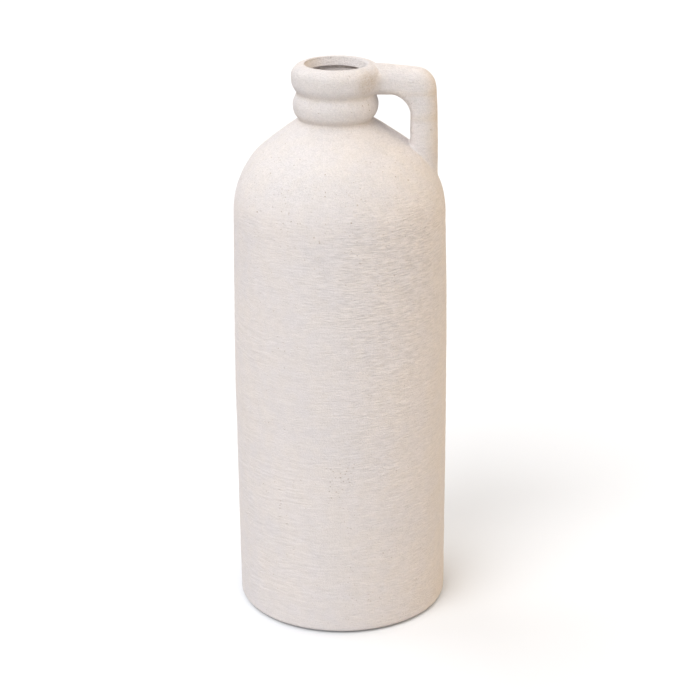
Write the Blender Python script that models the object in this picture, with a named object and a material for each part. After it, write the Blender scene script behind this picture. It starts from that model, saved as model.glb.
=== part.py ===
"""Bottle vase: a tall stoneware bottle with a double-rolled neck and one squared handle.

The clay members are modelled as they are made and luted together: a base slab, a body wall, a shoulder,
two neck rolls and a handle scribed to fit them, standing on four felt pads. Metres, +Z up, origin on the
floor under the body's axis, handle towards +X.
"""

from math import cos, hypot, pi, radians, sin, sqrt, tan

import bmesh
import bpy

MM = 0.001

# Overall sizes
VASE_HEIGHT = 450.0 * MM  # floor to the crest of the lip
BODY_RADIUS = 86.0 * MM  # at the belly, the widest height
WALL = 7.0 * MM
GAP = 0.3 * MM  # slip joint left between two clay members

# Body
BELLY_HEIGHT = 175.0 * MM
FOOT_DRAW_IN = 0.4 * MM  # how much slimmer than the belly the foot is
SPRING_DRAW_IN = 2.2 * MM  # and the top of the wall, where the shoulder springs
FOOT_EDGE = 1.6 * MM  # rounding round the foot
FOOT_LAND = 4.0 * MM  # width of wall left outside the slab
WALL_LAP = 6.0 * MM  # depth of the shoulder's spigot in the wall

# Base slab and pads
SLAB_THICKNESS = 8.0 * MM
SLAB_RECESS = 1.0 * MM  # hollow under the slab, inside its rim
SLAB_RIM = 34.0 * MM  # width of the flat rim that carries the pads
PAD_THICKNESS = 1.2 * MM
PAD_RADIUS = 9.0 * MM
PAD_INSET = 17.0 * MM  # pad's middle in from the slab's edge
PAD_COUNT = 4

# Shoulder
SHOULDER_RADIUS = 66.7 * MM  # of the round corner, seen from the side
SHOULDER_PITCH = radians(36.6)  # of the straight slope up to the neck

# Neck rolls
CREASE_RADIUS = 27.3 * MM  # between shoulder and lower roll
NECK_ROLL_RADIUS = 33.1 * MM
NECK_ROLL_HEIGHT = 20.2 * MM
NECK_ROLL_BELLY = 11.2 * MM  # the lower roll's widest height above the crease
GROOVE_RADIUS = 28.4 * MM  # between the two rolls
MOUTH_ROLL_RADIUS = 35.3 * MM
MOUTH_ROLL_HEIGHT = 22.2 * MM
MOUTH_ROLL_BELLY = 13.2 * MM  # and the upper roll's above the groove
LIP_CREST_RADIUS = 25.4 * MM
LIP_BORE = 24.5 * MM
LIP_ROUND = 1.0 * MM  # fall of the lip's inner rounding
LIP_DEPTH = 8.0 * MM  # from the crest to the undercut below the lip
LIP_UNDERCUT = 3.0 * MM
NECK_BORE = 22.0 * MM
NECK_HOLLOW = 1.3 * MM  # swell inside the lower roll
NECK_LAP = 3.5 * MM
NECK_LEDGE = 1.5 * MM  # least clay under the neck's seat in the shoulder

# Lean of the hand-set neck, away from the handle
NECK_SHIFT = -2.7 * MM  # at the crease
LIP_SHIFT = -1.0 * MM  # at the lip
LEAN_GROWTH = 2.0  # how late in the shoulder the lean sets in

# Handle
ARM_TOP_DROP = 1.1 * MM  # arm's top below the crest of the lip
ARM_THICKNESS = 23.0 * MM
ARM_FALL = 3.2 * MM  # the arm's top sinks this much towards the corner
POST_WIDTH = 21.8 * MM
POST_INSET = 6.6 * MM  # foot of the post's outer face, inside the top of the wall
POST_SPLAY = 1.3 * MM  # the outer face stands out this much more at its foot
HANDLE_DEPTH = 24.0 * MM  # from front to back
HANDLE_EDGE = 7.5 * MM  # rounding along the bar
OUTER_CORNER = (17.5 * MM, 18.5 * MM)  # the bend's reach along the arm and down the post, outside
INNER_CORNER = (15.2 * MM, 17.5 * MM)  # and inside
ARM_SPREAD = (3.0 * MM, 8.0 * MM)  # how far the arm's sides widen into the upper roll, and over what length
FOOT_SPREAD = (1.3 * MM, 5.0 * MM)  # the same round the post's foot

# Facets
BODY_SEGMENTS = 64
NECK_SEGMENTS = 48
PAD_SEGMENTS = 24
BODY_STEPS = 8
FOOT_STEPS = 4
SHOULDER_STEPS = 10
ROLL_STEPS = 6
HOLLOW_STEPS = 3
ARM_STEPS = 14
BEND_STEPS = 9
POST_STEPS = 12
EDGE_STEPS = 4
SHARP_ANGLE = radians(40.0)
MERGE = 0.01 * MM  # points nearer than this are one point

# Heights and radii that follow
FOOT_Z = PAD_THICKNESS + GAP
SLAB_TOP = FOOT_Z + SLAB_THICKNESS
FOOT_RADIUS = BODY_RADIUS - FOOT_DRAW_IN
SPRING_RADIUS = BODY_RADIUS - SPRING_DRAW_IN
SLAB_RADIUS = FOOT_RADIUS - FOOT_LAND - GAP
PAD_CIRCLE = SLAB_RADIUS - PAD_INSET
GROOVE_Z = VASE_HEIGHT - MOUTH_ROLL_HEIGHT
CREASE_Z = GROOVE_Z - NECK_ROLL_HEIGHT
ARC_END = pi / 2 - SHOULDER_PITCH
ARC_CENTRE_R = SPRING_RADIUS - SHOULDER_RADIUS
CONE_FOOT_R = ARC_CENTRE_R + SHOULDER_RADIUS * cos(ARC_END)
CONE_FOOT_Z = CREASE_Z - (CONE_FOOT_R - CREASE_RADIUS) * tan(SHOULDER_PITCH)
SPRING_Z = CONE_FOOT_Z - SHOULDER_RADIUS * sin(ARC_END)
POST_OUTER_X = SPRING_RADIUS - POST_INSET
POST_INNER_X = POST_OUTER_X - POST_WIDTH
ARM_TOP_Z = VASE_HEIGHT - ARM_TOP_DROP
ARM_UNDER_Z = ARM_TOP_Z - ARM_THICKNESS

SAND, SAND_ROUGHNESS = (0.76, 0.70, 0.65), 0.9
FELT, FELT_ROUGHNESS = (0.12, 0.11, 0.10), 1.0


def lean(z):
    """Sideways shift of the vase's axis at a height."""
    if z <= CREASE_Z:
        return NECK_SHIFT * max((z - SPRING_Z) / (CREASE_Z - SPRING_Z), 0.0) ** LEAN_GROWTH
    rise = (z - CREASE_Z) / (VASE_HEIGHT - CREASE_Z)
    return NECK_SHIFT + (LIP_SHIFT - NECK_SHIFT) * rise


def quarter(start, end, count, start_flat):
    """Points of a quarter ellipse from start to end, level at start or, if not start_flat, upright there."""
    points = []
    for k in range(1, count + 1):
        a = k / count * pi / 2
        across, along = (sin(a), 1.0 - cos(a)) if start_flat else (1.0 - cos(a), sin(a))
        points.append((start[0] + (end[0] - start[0]) * across, start[1] + (end[1] - start[1]) * along))
    return points


def body_radius(z):
    """Outside radius of the body wall: a slow swell to the belly and in again."""
    if z < BELLY_HEIGHT:
        return BODY_RADIUS - FOOT_DRAW_IN * ((BELLY_HEIGHT - z) / (BELLY_HEIGHT - FOOT_Z)) ** 2
    return BODY_RADIUS - SPRING_DRAW_IN * ((z - BELLY_HEIGHT) / (SPRING_Z - BELLY_HEIGHT)) ** 2


def shoulder_height(r):
    """Height of the shoulder's outside at a radius from the leaning axis."""
    if r <= CONE_FOOT_R:
        return CONE_FOOT_Z + (CONE_FOOT_R - r) * tan(SHOULDER_PITCH)
    reach = min((r - ARC_CENTRE_R) / SHOULDER_RADIUS, 1.0)
    return SPRING_Z + SHOULDER_RADIUS * sqrt(1.0 - reach * reach)


def shoulder_side(depth, end_r):
    """The shoulder's round corner and slope, a depth inside its outside, from the wall up to a radius."""
    radius = SHOULDER_RADIUS - depth
    angles = [ARC_END * k / SHOULDER_STEPS for k in range(1, SHOULDER_STEPS + 1)]
    points = [(ARC_CENTRE_R + radius * cos(a), SPRING_Z + radius * sin(a)) for a in angles]
    slope_r, slope_z = points[-1]
    return points + [(end_r, slope_z + (slope_r - end_r) * tan(SHOULDER_PITCH))]


def shoulder_inside():
    """The shoulder's inside up to the bore, held a ledge below the neck's seat."""
    side = shoulder_side(WALL, NECK_BORE)
    under = CREASE_Z - NECK_LAP - NECK_LEDGE
    if side[-1][1] > under:
        slope_r, slope_z = side[-2]
        side[-1:] = [(slope_r - (under - slope_z) / tan(SHOULDER_PITCH), under), (NECK_BORE, under)]
    return side


def neck_side(swell):
    """Outside of the lower and the upper roll, a swell further out and half of it across the groove."""
    belly = (MOUTH_ROLL_RADIUS + swell, GROOVE_Z + MOUTH_ROLL_BELLY)
    lower = [(CREASE_RADIUS + swell, CREASE_Z + GAP)]
    lower += quarter(lower[0], (NECK_ROLL_RADIUS + swell, CREASE_Z + NECK_ROLL_BELLY), ROLL_STEPS, True)
    lower += quarter(lower[-1], (GROOVE_RADIUS + swell, GROOVE_Z + swell / 2), ROLL_STEPS, False)
    upper = [(GROOVE_RADIUS + swell, GROOVE_Z + GAP - swell / 2)]
    upper += quarter(upper[0], belly, ROLL_STEPS, True)
    upper += quarter(belly, (LIP_CREST_RADIUS, VASE_HEIGHT + swell), ROLL_STEPS, False)
    return lower, upper


def material(name, colour, roughness):
    """A plain non-metal material."""
    made = bpy.data.materials.new(name)
    made.use_nodes = True
    shader = made.node_tree.nodes["Principled BSDF"]
    shader.inputs["Base Color"].default_value = (*colour, 1.0)
    shader.inputs["Roughness"].default_value = roughness
    shader.inputs["Metallic"].default_value = 0.0
    return made


def new_object(name, bm, parent, colour=SAND, roughness=SAND_ROUGHNESS):
    """Turn a bmesh into a named object with its own material."""
    bmesh.ops.recalc_face_normals(bm, faces=bm.faces)
    mesh = bpy.data.meshes.new(name)
    bm.to_mesh(mesh)
    bm.free()
    mesh.shade_smooth()
    mesh.set_sharp_from_angle(angle=SHARP_ANGLE)
    mesh.materials.append(material(name + "_material", colour, roughness))
    made = bpy.data.objects.new(name, mesh)
    made.parent = parent
    bpy.context.scene.collection.objects.link(made)
    return made


def turned(name, outline, segments, parent):
    """Spin a (radius, height) outline round the axis, then lean it as the whole vase leans.

    An outline that starts on the axis ends on it too; any other is closed.
    """
    bm = bmesh.new()
    ring = [bm.verts.new((r, 0.0, z)) for r, z in outline]
    pairs = list(zip(ring, ring[1:]))
    if outline[0][0] > 0.0:
        pairs.append((ring[-1], ring[0]))
    edges = [bm.edges.new(pair) for pair in pairs]
    bmesh.ops.spin(bm, geom=ring + edges, axis=(0, 0, 1), cent=(0, 0, 0), angle=2 * pi, steps=segments,
                   use_merge=True)
    bmesh.ops.remove_doubles(bm, verts=bm.verts, dist=MERGE)
    for vert in bm.verts:
        vert.co.x += lean(vert.co.z)
    return new_object(name, bm, parent)


def lap_radius(outer, inner):
    """Radius half way through a wall, where a lap joint is split."""
    return (outer + inner) / 2


def rebate(outer, inner, seam, depth):
    """Three points of a lower member's seat, from its outer land in and down to its ledge."""
    split = lap_radius(outer, inner)
    return [(split, seam), (split, seam - depth), (inner, seam - depth)]


def spigot(outer, inner, seam, depth):
    """Three points of an upper member's spigot, from its inside round to its outside."""
    split = lap_radius(outer, inner) - GAP
    return [(inner, seam - depth + GAP), (split, seam - depth + GAP), (split, seam + GAP)]


def base_slab(parent):
    """Bottom disc, let into the wall, with a shallow hollow inside a flat rim underneath."""
    rim_in = SLAB_RADIUS - SLAB_RIM
    outline = [(0.0, SLAB_TOP), (SLAB_RADIUS, SLAB_TOP), (SLAB_RADIUS, FOOT_Z), (rim_in, FOOT_Z)]
    outline += [(rim_in - SLAB_RECESS, FOOT_Z + SLAB_RECESS), (0.0, FOOT_Z + SLAB_RECESS)]
    return turned("base_slab", outline, BODY_SEGMENTS, parent)


def body_wall(parent):
    """Tall wall, rebated inside the foot for the slab and inside the top for the shoulder's spigot."""
    outline = [(FOOT_RADIUS - FOOT_EDGE, FOOT_Z)]
    outline += quarter(outline[0], (FOOT_RADIUS, FOOT_Z + FOOT_EDGE), FOOT_STEPS, True)
    low = outline[-1][1]
    heights = [low + (SPRING_Z - low) * k / BODY_STEPS for k in range(1, BODY_STEPS + 1)]
    outline += [(body_radius(z), z) for z in heights]
    outline += rebate(SPRING_RADIUS, SPRING_RADIUS - WALL, SPRING_Z, WALL_LAP)
    ceiling = SLAB_TOP + GAP
    outline += [(body_radius(z) - WALL, z) for z in ((SPRING_Z + BELLY_HEIGHT) / 2, BELLY_HEIGHT, ceiling)]
    outline += [(SLAB_RADIUS + GAP, ceiling), (SLAB_RADIUS + GAP, FOOT_Z)]
    return turned("body_wall", outline, BODY_SEGMENTS, parent)


def shoulder_dome(parent):
    """Round-cornered shoulder with its spigot in the wall and a rebated seat for the neck."""
    outline = [(SPRING_RADIUS, SPRING_Z + GAP)] + shoulder_side(0.0, CREASE_RADIUS)
    outline += rebate(CREASE_RADIUS, NECK_BORE, CREASE_Z, NECK_LAP)
    outline += shoulder_inside()[::-1]
    outline += spigot(SPRING_RADIUS, SPRING_RADIUS - WALL, SPRING_Z, WALL_LAP)
    return turned("shoulder_dome", outline, BODY_SEGMENTS, parent)


def neck_ring(parent):
    """Lower roll of the neck, its spigot in the shoulder and a rebate for the upper roll on top."""
    outline = neck_side(0.0)[0] + rebate(GROOVE_RADIUS, NECK_BORE, GROOVE_Z, NECK_LAP)
    stem = spigot(CREASE_RADIUS, NECK_BORE, CREASE_Z, NECK_LAP)
    swell = (NECK_BORE + NECK_HOLLOW, (outline[-1][1] + stem[0][1]) / 2)
    outline += quarter(outline[-1], swell, HOLLOW_STEPS, True)
    outline += quarter(swell, stem[0], HOLLOW_STEPS, False) + stem[1:]
    return turned("neck_ring", outline, NECK_SEGMENTS, parent)


def mouth_ring(parent):
    """Upper roll with the rounded lip, undercut inside below the lip."""
    outline = neck_side(0.0)[1]
    outline += quarter(outline[-1], (LIP_BORE, VASE_HEIGHT - LIP_ROUND), HOLLOW_STEPS, True)
    edge, foot = (LIP_BORE, VASE_HEIGHT - LIP_DEPTH), (NECK_BORE, GROOVE_Z)
    hollow = (LIP_BORE + LIP_UNDERCUT, (edge[1] + foot[1]) / 2)
    outline += [edge] + quarter(edge, hollow, HOLLOW_STEPS, True)
    outline += quarter(hollow, foot, HOLLOW_STEPS, False)
    outline += spigot(GROOVE_RADIUS, NECK_BORE, GROOVE_Z, NECK_LAP)
    return turned("mouth_ring", outline, NECK_SEGMENTS, parent)


def cutter(name, outline, segments, parent):
    """A turned solid that only cuts the handle's ends to shape."""
    made = turned(name, outline, segments, parent)
    made.hide_render = True
    made.display_type = "WIRE"
    return made


def handle_stations():
    """Pairs of points under and over the bar, along the arm, round the corner and down the post."""
    start_x = lean(VASE_HEIGHT) + LIP_CREST_RADIUS
    under_x, under_z = POST_INNER_X - INNER_CORNER[0], ARM_UNDER_Z - INNER_CORNER[1]
    over_x = POST_OUTER_X - POST_SPLAY - OUTER_CORNER[0]
    over_z = ARM_TOP_Z - ARM_FALL - OUTER_CORNER[1]
    under_foot = shoulder_height(POST_INNER_X - NECK_SHIFT) - WALL / 2
    over_foot = shoulder_height(POST_OUTER_X - NECK_SHIFT) - WALL / 2
    stations = []
    for k in range(ARM_STEPS):
        t = k / ARM_STEPS
        over = (start_x + (over_x - start_x) * t, ARM_TOP_Z - ARM_FALL * t)
        stations.append(((start_x + (under_x - start_x) * t, ARM_UNDER_Z), over))
    for k in range(BEND_STEPS + 1):
        a = pi / 2 * (1.0 - k / BEND_STEPS)
        under = (under_x + INNER_CORNER[0] * cos(a), under_z + INNER_CORNER[1] * sin(a))
        over = (over_x + OUTER_CORNER[0] * cos(a), over_z + OUTER_CORNER[1] * sin(a))
        stations.append((under, over))
    for k in range(1, POST_STEPS + 1):
        t = 1.0 - (1.0 - k / POST_STEPS) ** 2
        under = (POST_INNER_X, under_z + (under_foot - under_z) * t)
        over = (POST_OUTER_X - POST_SPLAY * (1.0 - t) ** 2, over_z + (over_foot - over_z) * t)
        stations.append((under, over))
    return stations


def spread(gap, shape):
    """How far clay smoothed into a joint stands out, a gap away from what it joins."""
    height, length = shape
    return height * min(max(1.0 - gap / length, 0.0), 1.0) ** 2


def bar_section(under, over):
    """Rounded rectangle across the bar from its under to its over point, smoothed out at both ends."""
    centre_x, centre_z = (under[0] + over[0]) / 2, (under[1] + over[1]) / 2
    length = hypot(over[0] - under[0], over[1] - under[1])
    up_x, up_z = (over[0] - under[0]) / length, (over[1] - under[1]) / length
    points = []
    for corner in range(4):
        side_y, side_up = ((1, 1), (-1, 1), (-1, -1), (1, -1))[corner]
        for k in range(EDGE_STEPS + 1):
            a = pi / 2 * (corner + k / EDGE_STEPS)
            y = side_y * (HANDLE_DEPTH / 2 - HANDLE_EDGE) + HANDLE_EDGE * cos(a)
            up = side_up * (length / 2 - HANDLE_EDGE) + HANDLE_EDGE * sin(a)
            x, z = centre_x + up_x * up, centre_z + up_z * up
            axis_x = lean(z)
            from_roll = hypot(x - axis_x, y) - MOUTH_ROLL_RADIUS
            above_shoulder = z - shoulder_height(hypot(x - axis_x, y))
            flare = spread(above_shoulder, FOOT_SPREAD)
            y += (spread(from_roll, ARM_SPREAD) + flare) * cos(a)
            points.append((x + up_x * flare * sin(a), y, z + up_z * flare * sin(a)))
    return points


def handle(parent):
    """Squared bar lofted through its sections, its ends cut to sit on the upper roll and on the shoulder."""
    bm = bmesh.new()
    rings = [[bm.verts.new(p) for p in bar_section(*pair)] for pair in handle_stations()]
    for ring, after in zip(rings, rings[1:]):
        for k in range(len(ring)):
            n = (k + 1) % len(ring)
            bm.faces.new((ring[k], ring[n], after[n], after[k]))
    bm.faces.new(rings[0])
    bm.faces.new(rings[-1])
    made = new_object("handle", bm, parent)
    lower, upper = neck_side(GAP)
    neck_outline = [(0.0, CREASE_Z)] + lower + upper + [(0.0, VASE_HEIGHT + GAP)]
    neck_cut = cutter("neck_cut", neck_outline, NECK_SEGMENTS, parent)
    under = SPRING_Z - WALL
    side = shoulder_side(-GAP, CREASE_RADIUS)
    shoulder_outline = [(0.0, under), (SPRING_RADIUS + GAP, under)] + side + [(0.0, side[-1][1])]
    shoulder_cut = cutter("shoulder_cut", shoulder_outline, BODY_SEGMENTS, parent)
    for tool in (neck_cut, shoulder_cut):
        cut = made.modifiers.new("seat_" + tool.name, "BOOLEAN")
        cut.operation = "DIFFERENCE"
        cut.solver = "EXACT"
        cut.object = tool
    return made


def felt_pad(index, parent):
    """One round felt pad under the slab's rim."""
    bm = bmesh.new()
    bmesh.ops.create_cone(bm, cap_ends=True, segments=PAD_SEGMENTS, radius1=PAD_RADIUS, radius2=PAD_RADIUS,
                          depth=PAD_THICKNESS)
    made = new_object("felt_pad_%d" % index, bm, parent, FELT, FELT_ROUGHNESS)
    a = 2 * pi * (index - 0.5) / PAD_COUNT
    made.location = (PAD_CIRCLE * cos(a), PAD_CIRCLE * sin(a), PAD_THICKNESS / 2)
    return made


def main():
    for old in list(bpy.data.objects):
        bpy.data.objects.remove(old, do_unlink=True)
    vase = bpy.data.objects.new("vase", None)
    bpy.context.scene.collection.objects.link(vase)
    for make in (base_slab, body_wall, shoulder_dome, neck_ring, mouth_ring, handle):
        make(vase)
    for index in range(1, PAD_COUNT + 1):
        felt_pad(index, vase)


main()
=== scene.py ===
"""Looks of the bottle vase: sandy unglazed stoneware, combed round the body, with a handle luted on.

The clay is one turned skin, split into pieces where the members meet, so that their joints don't show. The
handle is a bar whose ends run out into the roll and the shoulder. Lengths are in millimetres until a mesh
is made, and in metres in the materials. The vase stands on the floor at the origin, with the handle towards
+X and the camera on -Y.
"""

from math import cos, pi, radians, sin, tan

import bpy
import numpy as np
from mathutils import Matrix, Vector


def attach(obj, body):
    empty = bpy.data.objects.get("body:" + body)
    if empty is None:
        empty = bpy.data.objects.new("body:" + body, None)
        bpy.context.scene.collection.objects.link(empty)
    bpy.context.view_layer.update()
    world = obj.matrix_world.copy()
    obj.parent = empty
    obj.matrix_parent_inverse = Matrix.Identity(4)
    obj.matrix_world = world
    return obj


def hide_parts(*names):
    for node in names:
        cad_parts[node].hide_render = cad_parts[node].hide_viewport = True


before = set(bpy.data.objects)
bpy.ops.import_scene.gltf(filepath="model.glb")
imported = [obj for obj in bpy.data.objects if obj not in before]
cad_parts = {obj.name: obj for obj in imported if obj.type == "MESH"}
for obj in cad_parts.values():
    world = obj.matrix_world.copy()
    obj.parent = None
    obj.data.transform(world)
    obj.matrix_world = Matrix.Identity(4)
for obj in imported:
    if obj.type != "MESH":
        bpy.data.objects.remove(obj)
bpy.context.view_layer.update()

MM = 0.001

# The vase's sizes, fitted to the photograph, within about a millimetre of the CAD model
HEIGHT = 450.0
WALL, JOINT = 7.0, 0.3
BODY_R, FOOT_R, SPRING_R = 85.65, 85.25, 83.45
BELLY_Z, FOOT_EDGE, FOOT_LAND = 175.0, 2.8, 3.65
SLAB_THICKNESS, SLAB_RIM, SLAB_RECESS = 8.0, 34.0, 1.0
SLAB_EDGE, RECESS_SLOPE = 0.8, 3.0
PAD_R, PAD_THICKNESS, PAD_INSET, PAD_COUNT = 9.0, 1.2, 17.0, 4
SHOULDER_R, SHOULDER_PITCH = 66.7, radians(36.6)
CREASE_R, NECK_ROLL_R, NECK_ROLL_HEIGHT, NECK_ROLL_BELLY = 27.3, 33.1, 20.2, 11.2
GROOVE_R, MOUTH_ROLL_R, MOUTH_ROLL_HEIGHT, MOUTH_ROLL_BELLY = 28.4, 34.7, 22.2, 13.2
LIP_CREST_R, LIP_BORE, LIP_EDGE_R, LIP_ROUND, LIP_DEPTH = 24.9, 24.0, 21.7, 1.0, 7.1
SLOT_DEPTH, SLOT_HEIGHT, LEDGE_R = 4.6, 2.2, 24.8
NECK_BORE, NECK_HOLLOW = 22.0, 1.3
NECK_SHIFT, LIP_SHIFT, MOUTH_SHIFT, LEAN_GROWTH = -2.7, -1.7, -0.8, 2.0
ARM_DROP, ARM_FALL, ARM_THICKNESS = 0.5, 3.0, 22.9
POST_INSET, POST_WIDTH, POST_SPLAY = 6.5, 21.4, 1.3
BAR_DEPTH, BAR_EDGES = 24.5, (11.2, 6.2)
OUTER_CORNER, INNER_CORNER, CORNER_POWER = (17.8, 18.8), (16.4, 19.2), 0.92

# Heights and radii that follow
FOOT_Z = PAD_THICKNESS + JOINT
SLAB_TOP, SLAB_R = FOOT_Z + SLAB_THICKNESS, FOOT_R - FOOT_LAND - JOINT
PAD_CIRCLE = SLAB_R - PAD_INSET
GROOVE_Z = HEIGHT - MOUTH_ROLL_HEIGHT
CREASE_Z = GROOVE_Z - NECK_ROLL_HEIGHT
ARC_END, ARC_CENTRE = pi / 2 - SHOULDER_PITCH, SPRING_R - SHOULDER_R
CONE_RISE = (ARC_CENTRE + SHOULDER_R * cos(ARC_END) - CREASE_R) * tan(SHOULDER_PITCH)
SPRING_Z = CREASE_Z - CONE_RISE - SHOULDER_R * sin(ARC_END)
ARM_TOP, ARM_UNDER = HEIGHT - ARM_DROP, HEIGHT - ARM_DROP - ARM_THICKNESS
POST_OUT, POST_IN = SPRING_R - POST_INSET, SPRING_R - POST_INSET - POST_WIDTH

# Fineness of the meshes
COLUMNS = 176  # round the turned skin
BODY_ROW, NECK_ROW = 0.66, 0.4  # between rows of points up the skin
FINE_ROW = 0.1  # while its creases are softened
BAR_AROUND, BAR_ROWS, BAR_APRON = 104, 120, 12  # round the handle, along it and out over each joint
BAR_FINE = 500  # along the handle while its joints are sought
BASE_COLUMNS, PAD_COLUMNS = 96, 90
EYE_R = 0.05  # the discs' innermost ring

# Softness of the hand-worked clay
CREASE_SOFT, GROOVE_SOFT, LIP_SOFT = 20, 36, 3  # fine rows that the neck's hollows and lip are rounded over
BLEND_ARM, BLEND_FOOT = 9.0, 3.2  # reach of the clay smoothed into the handle's joints
BLEND_CHANGES = (398.0, 418.0)  # heights between which it goes from the foot's to the arm's
PAD_EDGE = 0.45  # rounding of the felt
COMBING_FADES = (335.0, 380.0)  # heights, up the shoulder's turn

# Shoulder and rolls stand a little fuller: how much, and the heights where it rises, is full, turns and ends
FULLER = (
    (0.45, 362.0, 382.0, 396.0, 407.0),
    (0.20, 407.0, 412.0, 418.0, 424.0),
    (0.40, 427.0, 433.0, 433.0, 441.0),
    (0.40, 437.0, 446.5, 447.5, 449.9),
)

# Rough spots of the clay, in metres: bared sand beside the arm, and pits on the shoulder's turn
ROUGH_AT, ROUGH_REACH = (0.0225, 0.0262, 0.4395), (0.012, 0.016, 0.015)
PITS_AT, PITS_REACH = (0.0317, 0.0648, 0.3622), (0.016, 0.012, 0.008)
# Painted shade: bands along the neck's two creases, darkened and warmed where shade falls
CREASE_SHADE_BANDS = ((0.4276, 0.006, 0.003), (0.4076, 0.007, 0.004))  # height, reach above and below

# Colours of the clay, with painted shade for its creases and pits, then tints that multiply them, two of
# which paint warm light and shade on the handle and the right-hand side
COOL_CLAY, WARM_CLAY = (0.760, 0.712, 0.704, 1.0), (0.782, 0.725, 0.704, 1.0)
# the colour painted into the creases as shade
CREASE_SHADE_CLAY = (0.735, 0.672, 0.635, 1.0)
# the last colour is painted shade, the darkness inside the pinholes
BARED_SAND, IRON_SPECK, PIT_SHADE = (0.50, 0.40, 0.31, 1.0), (0.36, 0.26, 0.18, 1.0), (0.40, 0.31, 0.23, 1.0)
COOL_TINT, WARM_TINT = (0.997, 0.998, 1.006, 1.0), (1.006, 1.0, 0.989, 1.0)
SHOULDER_TINT = (0.994, 1.003, 1.004, 1.0)
# Painted warm light on the handle's far part, and painted warm shade down the whole right-hand side
HANDLE_WARM_LIGHT_TINT, SIDE_WARM_SHADE_TINT = (0.98, 0.93, 0.868, 1.0), (0.968, 0.962, 0.942, 1.0)

# Camera fitted to the photograph
CAMERA_AT = (0.0, -1.500, 0.80008)
CAMERA_PITCH, CAMERA_ROLL, CAMERA_YAW = radians(21.2867), radians(-0.3883), radians(0.2084)
CAMERA_LENS, SENSOR = 102.948, 36.0

# Lamps: azimuth from -Y towards +X, elevation, spread, strength as a share of full light, colour
LAMPS = {
    "key": (-38, 45, 40, 0.535, (1.0, 1.0, 1.0)),
    "top": (0, 88, 90, 0.33, (1.0, 1.0, 1.0)),
    "front": (11, 8, 50, 0.275, (1.0, 1.0, 1.0)),
    "back_left": (-125, 40, 60, 0.34, (1.0, 1.0, 1.0)),
    "back_right": (118, 40, 60, 0.19, (1.0, 0.88, 0.72)),
    "warm_side": (92, 13, 40, 0.295, (1.0, 0.67, 0.29)),
}
SKY = (0.11, 0.11, 0.11)
FLOOR_BOUNCE, FLOOR_SEEN = (0.55, 0.55, 0.55), (0.875, 0.89, 0.92)  # as a reflector, and to the eye
FLOOR_GLOW = 0.04  # share of plain white to the eye
FLOOR_REACH = 6.0  # metres from the middle to a side


def noise(u, v, around, seed):
    """Smooth noise from -1 to 1 over turns u, which wrap round, and cells v."""
    table = np.random.default_rng(seed).uniform(-1.0, 1.0, (1024, around))
    a = (np.asarray(u) % 1.0) * around
    v = np.asarray(v) + 0.0 * a
    i, j = np.floor(v).astype(int), np.floor(a).astype(int)
    fv, fa = v - i, a - j
    fv, fa = fv * fv * (3 - 2 * fv), fa * fa * (3 - 2 * fa)
    i0, i1, j0, j1 = i % 1024, (i + 1) % 1024, j % around, (j + 1) % around
    low = table[i0, j0] * (1 - fa) + table[i0, j1] * fa
    high = table[i1, j0] * (1 - fa) + table[i1, j1] * fa
    return low * (1 - fv) + high * fv


def step(low, high, x):
    """Ease from 0 at low to 1 at high."""
    t = np.clip((x - low) / (high - low), 0.0, 1.0)
    return t * t * (3 - 2 * t)


def lean(z):
    """Sideways shift of the axis at a height."""
    low = NECK_SHIFT * np.clip((z - SPRING_Z) / (CREASE_Z - SPRING_Z), 0.0, 1.0) ** LEAN_GROWTH
    return low + (LIP_SHIFT - NECK_SHIFT) * np.clip((z - CREASE_Z) / (HEIGHT - CREASE_Z), 0.0, None)


def quarter(start, end, level_first, count=40):
    """A quarter ellipse from start to end, level or else upright where it starts."""
    a = np.linspace(0.0, pi / 2, count)
    across, along = (np.sin(a), 1 - np.cos(a)) if level_first else (1 - np.cos(a), np.sin(a))
    return np.stack([start[0] + (end[0] - start[0]) * across, start[1] + (end[1] - start[1]) * along], 1)


def body_side():
    """Outside of the body wall from the rounded foot to the spring of the shoulder."""
    z = np.linspace(FOOT_Z + FOOT_EDGE, SPRING_Z, 400)
    low = BODY_R - (BODY_R - FOOT_R) * ((BELLY_Z - z) / (BELLY_Z - FOOT_Z)) ** 2
    high = BODY_R - (BODY_R - SPRING_R) * ((z - BELLY_Z) / (SPRING_Z - BELLY_Z)) ** 2
    wall = np.stack([np.where(z < BELLY_Z, low, high), z], 1)
    return np.concatenate([quarter((FOOT_R - FOOT_EDGE, FOOT_Z), wall[0], True)[:-1], wall])


def shoulder_side(depth, end_r):
    """The shoulder's round corner and slope, a depth under its outside, from the wall up to a radius."""
    radius = SHOULDER_R - depth
    a = np.linspace(0.0, ARC_END, 120)
    arc = np.stack([ARC_CENTRE + radius * np.cos(a), SPRING_Z + radius * np.sin(a)], 1)
    r = np.linspace(arc[-1, 0], end_r, 80)[1:]
    return np.concatenate([arc, np.stack([r, arc[-1, 1] + (arc[-1, 0] - r) * tan(SHOULDER_PITCH)], 1)])


def roll_side():
    """Outsides of the lower and of the upper roll, the upper one over the crest of the lip."""
    belly = (NECK_ROLL_R, CREASE_Z + NECK_ROLL_BELLY)
    lower = [quarter((CREASE_R, CREASE_Z), belly, True), quarter(belly, (GROOVE_R, GROOVE_Z), False)[1:]]
    belly = (MOUTH_ROLL_R, GROOVE_Z + MOUTH_ROLL_BELLY)
    upper = [quarter((GROOVE_R, GROOVE_Z), belly, True), quarter(belly, (LIP_CREST_R, HEIGHT), False)[1:]]
    return np.concatenate(lower), np.concatenate(upper)


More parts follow.
